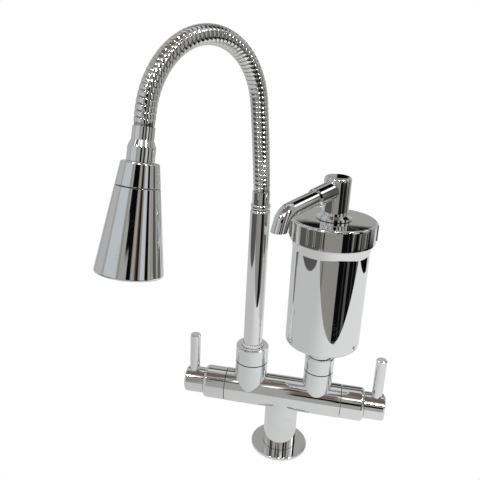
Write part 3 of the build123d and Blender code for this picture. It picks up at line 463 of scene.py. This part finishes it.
def grained(name, tint, roughness, grain, size, depth, tone, specular):
    """A plain bulk material with grain and slow changes of tone."""
    material, board, shader = new_material(name)
    cells = board.group(grain, Grain_size=size)
    shader["Specular IOR Level"].default_value = specular
    board.feed(shader["Base Color"], board.blend(
        cells.outputs["Tone"], with_alpha(scaled(tint, tone)), with_alpha(scaled(tint, 2 - tone))))
    board.feed(shader["Roughness"], board.remap(
        cells.outputs["Tone"], *TONE_EDGES, *(roughness * factor for factor in BULK_ROUGHNESS)))
    board.feed(shader["Normal"], board.bump(cells.outputs["Grain"], depth))
    return material


# Closeness and wobble of the lathe's rings, and the size of the grain that they lie over
RING_SCALE = 900.0
RING_WOBBLE = 1.5
TURNED_GRAIN = 0.0008

# Darkest and lightest tone, and smoothest and roughest ring, to the metal's own
TURNED_TONES = (0.8, 1.1)
TURNED_ROUGHNESS = (0.8, 1.3)

# Reach of the turned metal's painted seam shade and dirt to the chrome's, and height of its rings to the
# chrome's ripples
TURNED_REACH = 2
RING_HEIGHT = 1 / 4


def turned_metal(name, tint, roughness, grain, shade_and_dirt, finish):
    """A lathe-turned metal: fine rings along the bar over a soft grain, with painted shade and dirt where it
    shows in a seam.
    """
    material, board, shader = new_material(name)
    place = board.node("ShaderNodeTexCoord").outputs["Object"]
    rings = board.node("ShaderNodeTexWave", wave_type="RINGS", rings_direction="X")
    board.feed_named(rings, {"Vector": place, "Scale": RING_SCALE, "Distortion": RING_WOBBLE})
    cells = board.group(grain, Grain_size=TURNED_GRAIN)
    # Painted shade, with dirt, in sheltered seams
    seam = board.group(shade_and_dirt, Reach=finish.seam_reach * TURNED_REACH, Dirt=finish.seam_shade_and_dirt).outputs["Film"]
    shader["Metallic"].default_value = 1.0
    bare = board.blend(cells.outputs["Tone"], *(with_alpha(scaled(tint, tone)) for tone in TURNED_TONES))
    board.feed(shader["Base Color"], board.blend(seam, bare, with_alpha(scaled(tint, SHADE_AND_DIRT_TONE))))
    board.feed(shader["Roughness"], board.remap(
        rings.outputs["Fac"], 0.0, 1.0, *(roughness * factor for factor in TURNED_ROUGHNESS)))
    board.feed(shader["Normal"], board.bump(rings.outputs["Fac"], finish.ripple_height * RING_HEIGHT))
    return material


# How far the hand marks move from one chrome piece to the next, so that no two carry the same ones
MARKS_SHIFT = 0.13

TURNED_FINISHES = (
    # pieces, material, tint, roughness
    (BRASS_PIECES, "turned_brass", "brass_tint", 0.24),
    (STEEL_PIECES, "turned_steel", "steel_tint", 0.30),
)
GRAINED_FINISHES = (
    # pieces, material, tint, roughness, grain size, grain depth, darkest tone, specular level
    (RUBBER_PIECES, "seal_rubber", "rubber_tint", 0.62, 0.0004, 0.00004, 0.85, 0.35),
    (CERAMIC_PIECES, "lapped_ceramic", "ceramic_tint", 0.14, 0.0003, 0.000004, 0.94, 0.5),
    (WHITE_PLASTIC_PIECES, "white_plastic", "white_plastic_tint", 0.38, 0.0006, 0.00001, 0.95, 0.5),
    (GREY_PLASTIC_PIECES, "grey_plastic", "grey_plastic_tint", 0.34, 0.0005, 0.00001, 0.9, 0.5),
    (LINER_PIECES, "liner_plastic", "liner_tint", 0.3, 0.0008, 0.00001, 0.93, 0.5),
    (FILTER_PIECES, "pressed_carbon", "filter_tint", 0.8, 0.0009, 0.00018, 0.6, 0.5),
)


class TAP_OT_chrome(bpy.types.Operator):
    """Plate the outer pieces with chrome"""

    bl_idname = "tap.chrome"
    bl_label = "Chrome Pieces"

    def execute(self, context):
        finish = context.scene.tap_finish
        marks, shade_and_dirt = hand_marks_group(), shade_and_dirt_group()
        for number, name in enumerate(CHROME_PIECES):
            dress([name], polished_metal(
                f"chrome_{name}", finish.chrome_tint, finish.chrome_roughness, marks, shade_and_dirt, finish,
                shift=MARKS_SHIFT * number))
        return {"FINISHED"}


class TAP_OT_inner_pieces(bpy.types.Operator):
    """Give the valves, seals and filter pieces their finishes"""

    bl_idname = "tap.inner_pieces"
    bl_label = "Inner Pieces"

    def execute(self, context):
        finish = context.scene.tap_finish
        grain, shade_and_dirt = grain_group(), bpy.data.node_groups["Seam film"]
        for pieces, name, tint, roughness in TURNED_FINISHES:
            dress(pieces, turned_metal(name, getattr(finish, tint), roughness, grain, shade_and_dirt, finish))
        for pieces, name, tint, roughness, *grain_values in GRAINED_FINISHES:
            dress(pieces, grained(name, getattr(finish, tint), roughness, grain, *grain_values))
        return {"FINISHED"}


# The gooseneck's line, as the hose's solid has it: arcs that bend over along the azimuth, the last one
# rolled a little out of their plane. Turns and rolls are in degrees.
SPOUT_AZIMUTH = 239.8
HOSE_FOOT_STRAIGHT = 0.002
HOSE_END_STRAIGHT = 0.0084
HOSE_ARC_RADII = (0.0262, 1.23, 0.0541, 0.0575)
HOSE_ARC_TURNS = (6.1, 2.98, 115.4, 45)
HOSE_ARC_ROLLS = (0, 0, 0, 3.4)


def hose_stretches():
    """The hose's visible line as (length, radius, roll) stretches; a straight one has no radius."""
    yield HOSE_FOOT_STRAIGHT, None, 0
    for radius, turn, roll in zip(HOSE_ARC_RADII, HOSE_ARC_TURNS, HOSE_ARC_ROLLS):
        yield radius * math.radians(turn), radius, roll
    yield HOSE_END_STRAIGHT, None, 0


def hose_place(distance, foot):
    """Place at that distance along the hose's line: Z runs along it, -Y is the inside of its bends."""
    place = Matrix.Translation(foot) @ Matrix.Rotation(math.radians(SPOUT_AZIMUTH + 90), 4, "Z")
    if distance < 0:
        return place @ Matrix.Translation((0, 0, distance))
    for length, radius, roll in hose_stretches():
        run = min(distance, length)
        if radius is None:
            place = place @ Matrix.Translation((0, 0, run))
        else:
            angle = run / radius
            rolled = Matrix.Rotation(math.radians(roll), 4, "Z")
            step = Matrix.Translation((0, radius * (math.cos(angle) - 1), radius * math.sin(angle)))
            place = place @ rolled @ step @ Matrix.Rotation(angle, 4, "X") @ rolled.inverted()
        distance -= run
    return place @ Matrix.Translation((0, 0, distance))


# Height of the strip's edges to that of its middle
RIB_SHOULDER = 0.8

# Part of each tail over which the hose narrows to the tail's thickness
STEP_SHARE = 1 / 40

# Mesh attribute that tells how deep in the groove a point lies, from 0 to 1; the strip's painted shade and
# dirt follow it
GROOVE_DEPTH = "groove_depth"

# Finish of the strip: its roughness, the shift of its hand marks and the reach of its painted seam shade and
# dirt to the chrome's
STRIP_ROUGHNESS = 0.04
STRIP_SHIFT = 4.1
STRIP_REACH = 0.8


def rib_rise(turns, crest_share):
    """How far the strip stands out of its groove, 0 to 1, at that many turns along the winding."""
    phase = turns % 1.0
    if phase >= crest_share:
        return 0.0
    from_middle = abs(2 * phase / crest_share - 1)
    return RIB_SHOULDER + (1 - RIB_SHOULDER) * (1 - from_middle ** 2)


def hose_rings(hose, visible):
    """The mesh's rings as their distance from the foot and a (radius, groove depth) for each step around."""
    tail_ring = [(hose.tail_diameter / 2, 0.0)] * hose.around
    valley, crest = hose.valley_diameter / 2, hose.outer_diameter / 2
    turns_in_all = round(visible / hose.rib_pitch)
    pitch = visible / turns_in_all
    count = turns_in_all * hose.along
    wound = []
    for number in range(count + 1):
        distance = visible * number / count
        fade = max(0.0, min(1.0, distance / pitch, (visible - distance) / pitch))
        rises = [fade * rib_rise(distance / pitch + step / hose.around, hose.crest_share)
                 for step in range(hose.around)]
        wound.append((distance, [
            (valley + (crest - valley) * rise, 1.0 - min(1.0, rise / RIB_SHOULDER)) for rise in rises]))
    tails = [(reach, tail_ring) for reach in (hose.tail_length, hose.tail_length * STEP_SHARE)]
    foot_tail = [(-reach, ring) for reach, ring in tails]
    end_tail = [(visible + reach, ring) for reach, ring in reversed(tails)]
    return foot_tail + wound + end_tail


class TAP_OT_gooseneck(bpy.types.Operator):
    """Wind the ribbed metal hose of the gooseneck"""

    bl_idname = "tap.gooseneck"
    bl_label = "Gooseneck Hose"

    def execute(self, context):
        hose, finish = context.scene.tap_hose, context.scene.tap_finish
        ferrule_low, ferrule_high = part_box("lower_ferrule")
        foot = (ferrule_low + ferrule_high) / 2
        foot.z = ferrule_high.z
        visible = sum(length for length, radius, roll in hose_stretches())
        rings = hose_rings(hose, visible)
        points, depths = [], []
        for distance, radii in rings:
            place = hose_place(distance, foot)
            for step, (radius, depth) in enumerate(radii):
                angle = 2 * math.pi * step / hose.around
                points.append(place @ Vector((math.cos(angle) * radius, math.sin(angle) * radius, 0)))
                depths.append(depth)
        faces = []
        for low in range(0, (len(rings) - 1) * hose.around, hose.around):
            high = low + hose.around
            for step in range(hose.around):
                following = (step + 1) % hose.around
                faces.append((low + step, low + following, high + following, high + step))
        mesh = bpy.data.meshes.new("wound_hose")
        mesh.from_pydata(points, [], faces)
        mesh.polygons.foreach_set("use_smooth", [True] * len(faces))
        mesh.attributes.new(GROOVE_DEPTH, "FLOAT", "POINT").data.foreach_set("value", depths)
        wound = bpy.data.objects.new("wound_hose", mesh)
        context.scene.collection.objects.link(wound)
        marks, shade_and_dirt = bpy.data.node_groups["Hand marks"], bpy.data.node_groups["Seam film"]
        mesh.materials.append(polished_metal(
            "hose_strip", finish.steel_tint, STRIP_ROUGHNESS, marks, shade_and_dirt, finish,
            shift=STRIP_SHIFT, reach=STRIP_REACH, groove=GROOVE_DEPTH))
        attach(wound, "spout")
        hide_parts("gooseneck_hose")
        return {"FINISHED"}


# The soft boards around the tap that the chrome mirrors, by heading and height in degrees. Heading 0 faces
# the camera's side, 90 is to the right and 180 is behind the tap. Later boards lie over earlier ones.
SURROUND_TONES = {
    "white": (0.62, 0.63, 0.64),
    "bright": (1.4, 1.4, 1.4),
    "pale": (0.46, 0.46, 0.47),
    "sky": (0.53, 0.555, 0.575),
    "wall": (0.36, 0.36, 0.34),
    "dim": (0.27, 0.26, 0.24),
    "shade": (0.09, 0.09, 0.085),
    "dusk": (0.035, 0.035, 0.036),
    "umber": (0.155, 0.125, 0.110),
    "brown": (0.050, 0.034, 0.028),
    "black": (0.003, 0.003, 0.004),
}
# Headings begin at this one and run on past 180
SURROUND_SEAM = -145.0
FULL_TURN = 360.0
WHITE = (1, 1, 1, 1)
SURROUND_BOARDS = (
    # tone, left, right, bottom, top, softness
    ("pale", -146, -98, -90, -12, 2),
    ("shade", -92, -27, -90, -12, 3),
    ("dim", -27, 28, -90, -12, 2),
    ("shade", -20, -17, -90, -12, 3),
    ("black", 28, 86, -90, -12, 1.5),
    ("shade", 54, 61, -90, -12, 2.5),
    ("dusk", 44, 46, -90, -12, 2),
    ("dusk", 73, 76, -90, -12, 2),
    ("shade", 86, 101, -90, -12, 3),
    ("dim", 101, 140, -90, -12, 3),
    ("dusk", 106, 118, -90, -12, 2),
    ("black", 98, 145, -90, -18, 2),
    ("white", 140, 165, -90, -12, 3),
    ("pale", -146, -66, -12, 35, 2),
    ("wall", -122, -114, -12, 35, 3),
    ("wall", -76, -68, -12, 35, 2),
    ("sky", -66, -21, -12, 35, 2.0),
    ("wall", -21, -17, -12, 35, 1.0),
    ("dim", -17, -12, -12, 35, 1.0),
    ("wall", -12, 12.5, -12, 35, 1.5),
    ("black", 12.5, 26, -12, 35, 0.6),
    ("dim", 26, 39, -12, 35, 0.8),
    ("wall", 30, 35, -12, 35, 1.5),
    ("brown", 39, 51, -12, 35, 0.8),
    ("black", 44, 48, -12, 35, 1.0),
    ("dim", 51, 57, -12, 35, 1.0),
    ("sky", 57, 71, -12, 35, 1.5),
    ("black", 72.5, 84, -12, 35, 0.8),
    ("wall", 84, 105, -12, 35, 1.2),
    ("dim", 93, 96, -12, 35, 2),
    ("shade", 107, 119, -12, 35, 2),
    ("wall", 119, 145, -12, 35, 2),
    ("dim", 129, 133, -12, 35, 2),
    ("pale", 145, 216, -12, 35, 2),
    ("black", 1, 24, 14, 28, 1),
    ("black", -3.5, 1.5, 18, 29, 1),
    ("wall", 165, 195, -12, 16.75, 0.15),
    ("wall", -146, 216, 34, 46, 1.5),
    ("black", -60, -50, 34, 41, 1.0),
    ("brown", -48, -40, 34, 41, 1.0),
    ("bright", -64, -42, 41, 48, 1.0),
    ("bright", -38, -19, 41, 48, 1.0),
    ("brown", -19, -9, 39, 47, 1.0),
    ("umber", -4, 2, 30, 46, 1.0),
    ("black", 4, 12, 39, 46, 1.0),
    ("bright", 20, 34, 40, 47, 1.0),
    ("black", 35, 48, 34, 46, 1.0),
    ("brown", 54, 66, 34, 46, 1.0),
    ("pale", -146, -100, 46, 60, 2),
    ("pale", 100, 216, 46, 60, 2),
    ("wall", -100, 100, 46, 62, 1.0),
    ("umber", -60, 3, 46, 53, 1.0),
    ("bright", -22, -12, 47, 57, 1.0),
    ("bright", -9.5, -6.5, 48, 57, 1.0),
    ("brown", -6.5, -3.5, 46, 56, 1.0),
    ("bright", 3, 30, 47, 57, 1.0),
    ("white", 130, 216, 58, 72, 1.0),
    ("umber", -100, 100, 62, 91, 1.0),
    ("dim", -13, -8, 62, 80, 1.0),
    ("brown", -6.5, -3.5, 73, 83, 1.0),
    ("pale", -3.5, 2, 72, 83, 1.0),
    ("dim", 4, 12, 70, 91, 1.5),
    ("umber", 100, 216, 72, 91, 2),
    ("bright", 107, 124, 31, 44, 1.5),
    ("black", 128, 164, 34, 53, 1.0),
    ("black", 164, 205, 44, 53, 1.0),
    ("black", 170, 180.9, 8, 13.5, 0.1),
    ("black", 172, 190, 16.75, 28, 0.15),
)


def build_surround(context, studio):
    """The world: white for the camera, and the surround's boards for everything else."""
    world = bpy.data.worlds.new("surround")
    context.scene.world = world
    world.use_nodes = True
    world.node_tree.nodes.clear()
    board = Board(world.node_tree)
    mask_tree = board_mask_group()
    direction = board.node("ShaderNodeSeparateXYZ")
    board.feed(direction.inputs[0], board.node("ShaderNodeTexCoord").outputs["Generated"])
    east, north, up = direction.outputs
    turn = board.math("DEGREES", board.math("ARCTAN2", east, board.math("MULTIPLY", north, -1.0)))
    past_seam = board.math("MULTIPLY", board.math("LESS_THAN", turn, SURROUND_SEAM), FULL_TURN)
    heading = board.math("ADD", turn, past_seam)
    height = board.math("DEGREES", board.math("ARCSINE", up))
    colour = with_alpha(SURROUND_TONES["wall"])
    for tone, left, right, bottom, top, soft in SURROUND_BOARDS:
        mask = board.group(mask_tree, Heading=heading, Height=height, Left=left, Right=right,
                           Bottom=bottom, Top=top, Soft=soft).outputs["Mask"]
        colour = board.blend(mask, colour, with_alpha(SURROUND_TONES[tone]))
    mirrored = board.node("ShaderNodeBackground")
    board.feed(mirrored.inputs["Color"], colour)
    mirrored.inputs["Strength"].default_value = studio.surround_glow
    backdrop = board.node("ShaderNodeBackground")
    backdrop.inputs["Color"].default_value = WHITE
    seen = board.node("ShaderNodeLightPath").outputs["Is Camera Ray"]
    chosen = board.node("ShaderNodeMixShader")
    board.feed(chosen.inputs[0], seen)
    board.feed(chosen.inputs[1], mirrored.outputs[0])
    board.feed(chosen.inputs[2], backdrop.outputs[0])
    output = board.node("ShaderNodeOutputWorld")
    board.feed(output.inputs["Surface"], chosen.outputs[0])


# Outline of the table that the chrome mirrors, and how far to each side of the tap its tone changes
TABLE_CORNERS = (
    (-0.279, -0.410, 0), (-0.262, -0.540, 0), (-0.197, -0.468, 0), (0.178, -0.206, 0),
    (0.606, 0.019, 0), (-0.114, 0.979, 0), (-0.938, 0.602, 0),
)
TABLE_TONE_REACH = 0.16

# The pale floor: its reach to each side, how far below the tap it lies and its brightness
FLOOR_REACH = 4.0
FLOOR_DROP = 0.0003
FLOOR_GLOW = 1.0

# Heading and height of each lamp in degrees
LAMP_PLACES = ((-29, 46), (16, 46), (64, 46))

# The camera's sensor in millimetres, and the nearest and farthest that it sees
SENSOR_WIDTH = 36.0
NEAREST_SEEN = 0.01
FARTHEST_SEEN = 20.0


def flat_sheet(context, name, corners, left_glow, right_glow):
    """A flat white sheet with these corners, part of the stage, whose glow changes from left to right."""
    mesh = bpy.data.meshes.new(name)
    mesh.from_pydata(corners, [], [tuple(range(len(corners)))])
    sheet = bpy.data.objects.new(name, mesh)
    context.scene.collection.objects.link(sheet)
    material = bpy.data.materials.new(name)
    material.use_nodes = True
    material.node_tree.nodes.clear()
    board = Board(material.node_tree)
    glow = board.node("ShaderNodeEmission")
    glow.inputs["Color"].default_value = WHITE
    across = board.node("ShaderNodeSeparateXYZ")
    board.feed(across.inputs[0], board.node("ShaderNodeTexCoord").outputs["Object"])
    board.feed(glow.inputs["Strength"], board.remap(
        across.outputs["X"], -TABLE_TONE_REACH, TABLE_TONE_REACH, left_glow, right_glow))
    output = board.node("ShaderNodeOutputMaterial")
    board.feed(output.inputs["Surface"], glow.outputs[0])
    mesh.materials.append(material)
    return sheet


def compass(heading, height):
    """Unit direction from a heading and a height in degrees."""
    turn, rise = math.radians(heading), math.radians(height)
    return Vector((math.sin(turn) * math.cos(rise), -math.cos(turn) * math.cos(rise), math.sin(rise)))


class TAP_OT_stage(bpy.types.Operator):
    """Set up the table, the surround, the lamps and the camera"""

    bl_idname = "tap.stage"
    bl_label = "Stage"

    def execute(self, context):
        studio = context.scene.tap_studio
        build_surround(context, studio)
        floor_corners = [(x * FLOOR_REACH, y * FLOOR_REACH, -FLOOR_DROP)
                         for x, y in ((-1, -1), (1, -1), (1, 1), (-1, 1))]
        floor = flat_sheet(context, "floor", floor_corners, FLOOR_GLOW, FLOOR_GLOW)
        floor.visible_glossy = False
        floor.visible_shadow = False
        table = flat_sheet(context, "table", TABLE_CORNERS, studio.table_shade, studio.table_glow)
        table.visible_camera = False
        table.visible_shadow = False
        middle = (CAD_BOX[0] + CAD_BOX[1]) / 2
        for number, (heading, height) in enumerate(LAMP_PLACES, start=1):
            light = bpy.data.lights.new(f"lamp_{number}", "AREA")
            light.shape = "DISK"
            light.size = studio.lamp_size
            light.energy = studio.lamp_power
            lamp = bpy.data.objects.new(f"lamp_{number}", light)
            context.scene.collection.objects.link(lamp)
            away = compass(heading, height)
            lamp.location = middle + away * studio.lamp_distance
            lamp.rotation_euler = away.to_track_quat("Z", "Y").to_euler()
        self.place_camera(context, studio)
        context.scene.view_settings.view_transform = "Standard"
        return {"FINISHED"}

    def place_camera(self, context, studio):
        """Sets the camera up at its place, turned by its yaw, pitch and roll."""
        yaw, pitch, roll = studio.camera_yaw, studio.camera_pitch, studio.camera_roll
        ahead = Vector((math.sin(yaw) * math.cos(pitch), math.cos(yaw) * math.cos(pitch), -math.sin(pitch)))
        level_right = Vector((math.cos(yaw), -math.sin(yaw), 0))
        level_up = level_right.cross(ahead)
        right = level_right * math.cos(roll) + level_up * math.sin(roll)
        up = level_up * math.cos(roll) - level_right * math.sin(roll)
        view = bpy.data.cameras.new("camera")
        view.lens = studio.lens
        view.sensor_width = SENSOR_WIDTH
        view.clip_start = NEAREST_SEEN
        view.clip_end = FARTHEST_SEEN
        camera = bpy.data.objects.new("camera", view)
        context.scene.collection.objects.link(camera)
        camera.matrix_world = Matrix.Translation(studio.camera_place) @ Matrix(
            (right, up, -ahead)).transposed().to_4x4()
        context.scene.camera = camera


class TAP_PT_panel(bpy.types.Panel):
    """Lists the tap's pieces and its stage"""

    bl_idname = "TAP_PT_panel"
    bl_label = "Drinking Water Tap"
    bl_space_type = "VIEW_3D"
    bl_region_type = "UI"
    bl_category = "Tap"

    def draw(self, context):
        for step in STEPS:
            self.layout.operator(step.bl_idname)


STEPS = (TAP_OT_stage, TAP_OT_chrome, TAP_OT_inner_pieces, TAP_OT_gooseneck)
CLASSES = (TapFinish, TapHose, TapStudio, *STEPS, TAP_PT_panel)


def register():
    """Registers the classes and hangs their settings on the scene."""
    for kind in CLASSES:
        bpy.utils.register_class(kind)
    bpy.types.Scene.tap_finish = PointerProperty(type=TapFinish)
    bpy.types.Scene.tap_hose = PointerProperty(type=TapHose)
    bpy.types.Scene.tap_studio = PointerProperty(type=TapStudio)


def unregister():
    """Takes the settings and the classes away again."""
    for name in ("tap_finish", "tap_hose", "tap_studio"):
        delattr(bpy.types.Scene, name)
    for kind in reversed(CLASSES):
        bpy.utils.unregister_class(kind)


def main():
    """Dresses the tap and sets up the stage."""
    register()
    bpy.ops.tap.stage()
    bpy.ops.tap.chrome()
    bpy.ops.tap.inner_pieces()
    bpy.ops.tap.gooseneck()


if __name__ == "__main__":
    main()
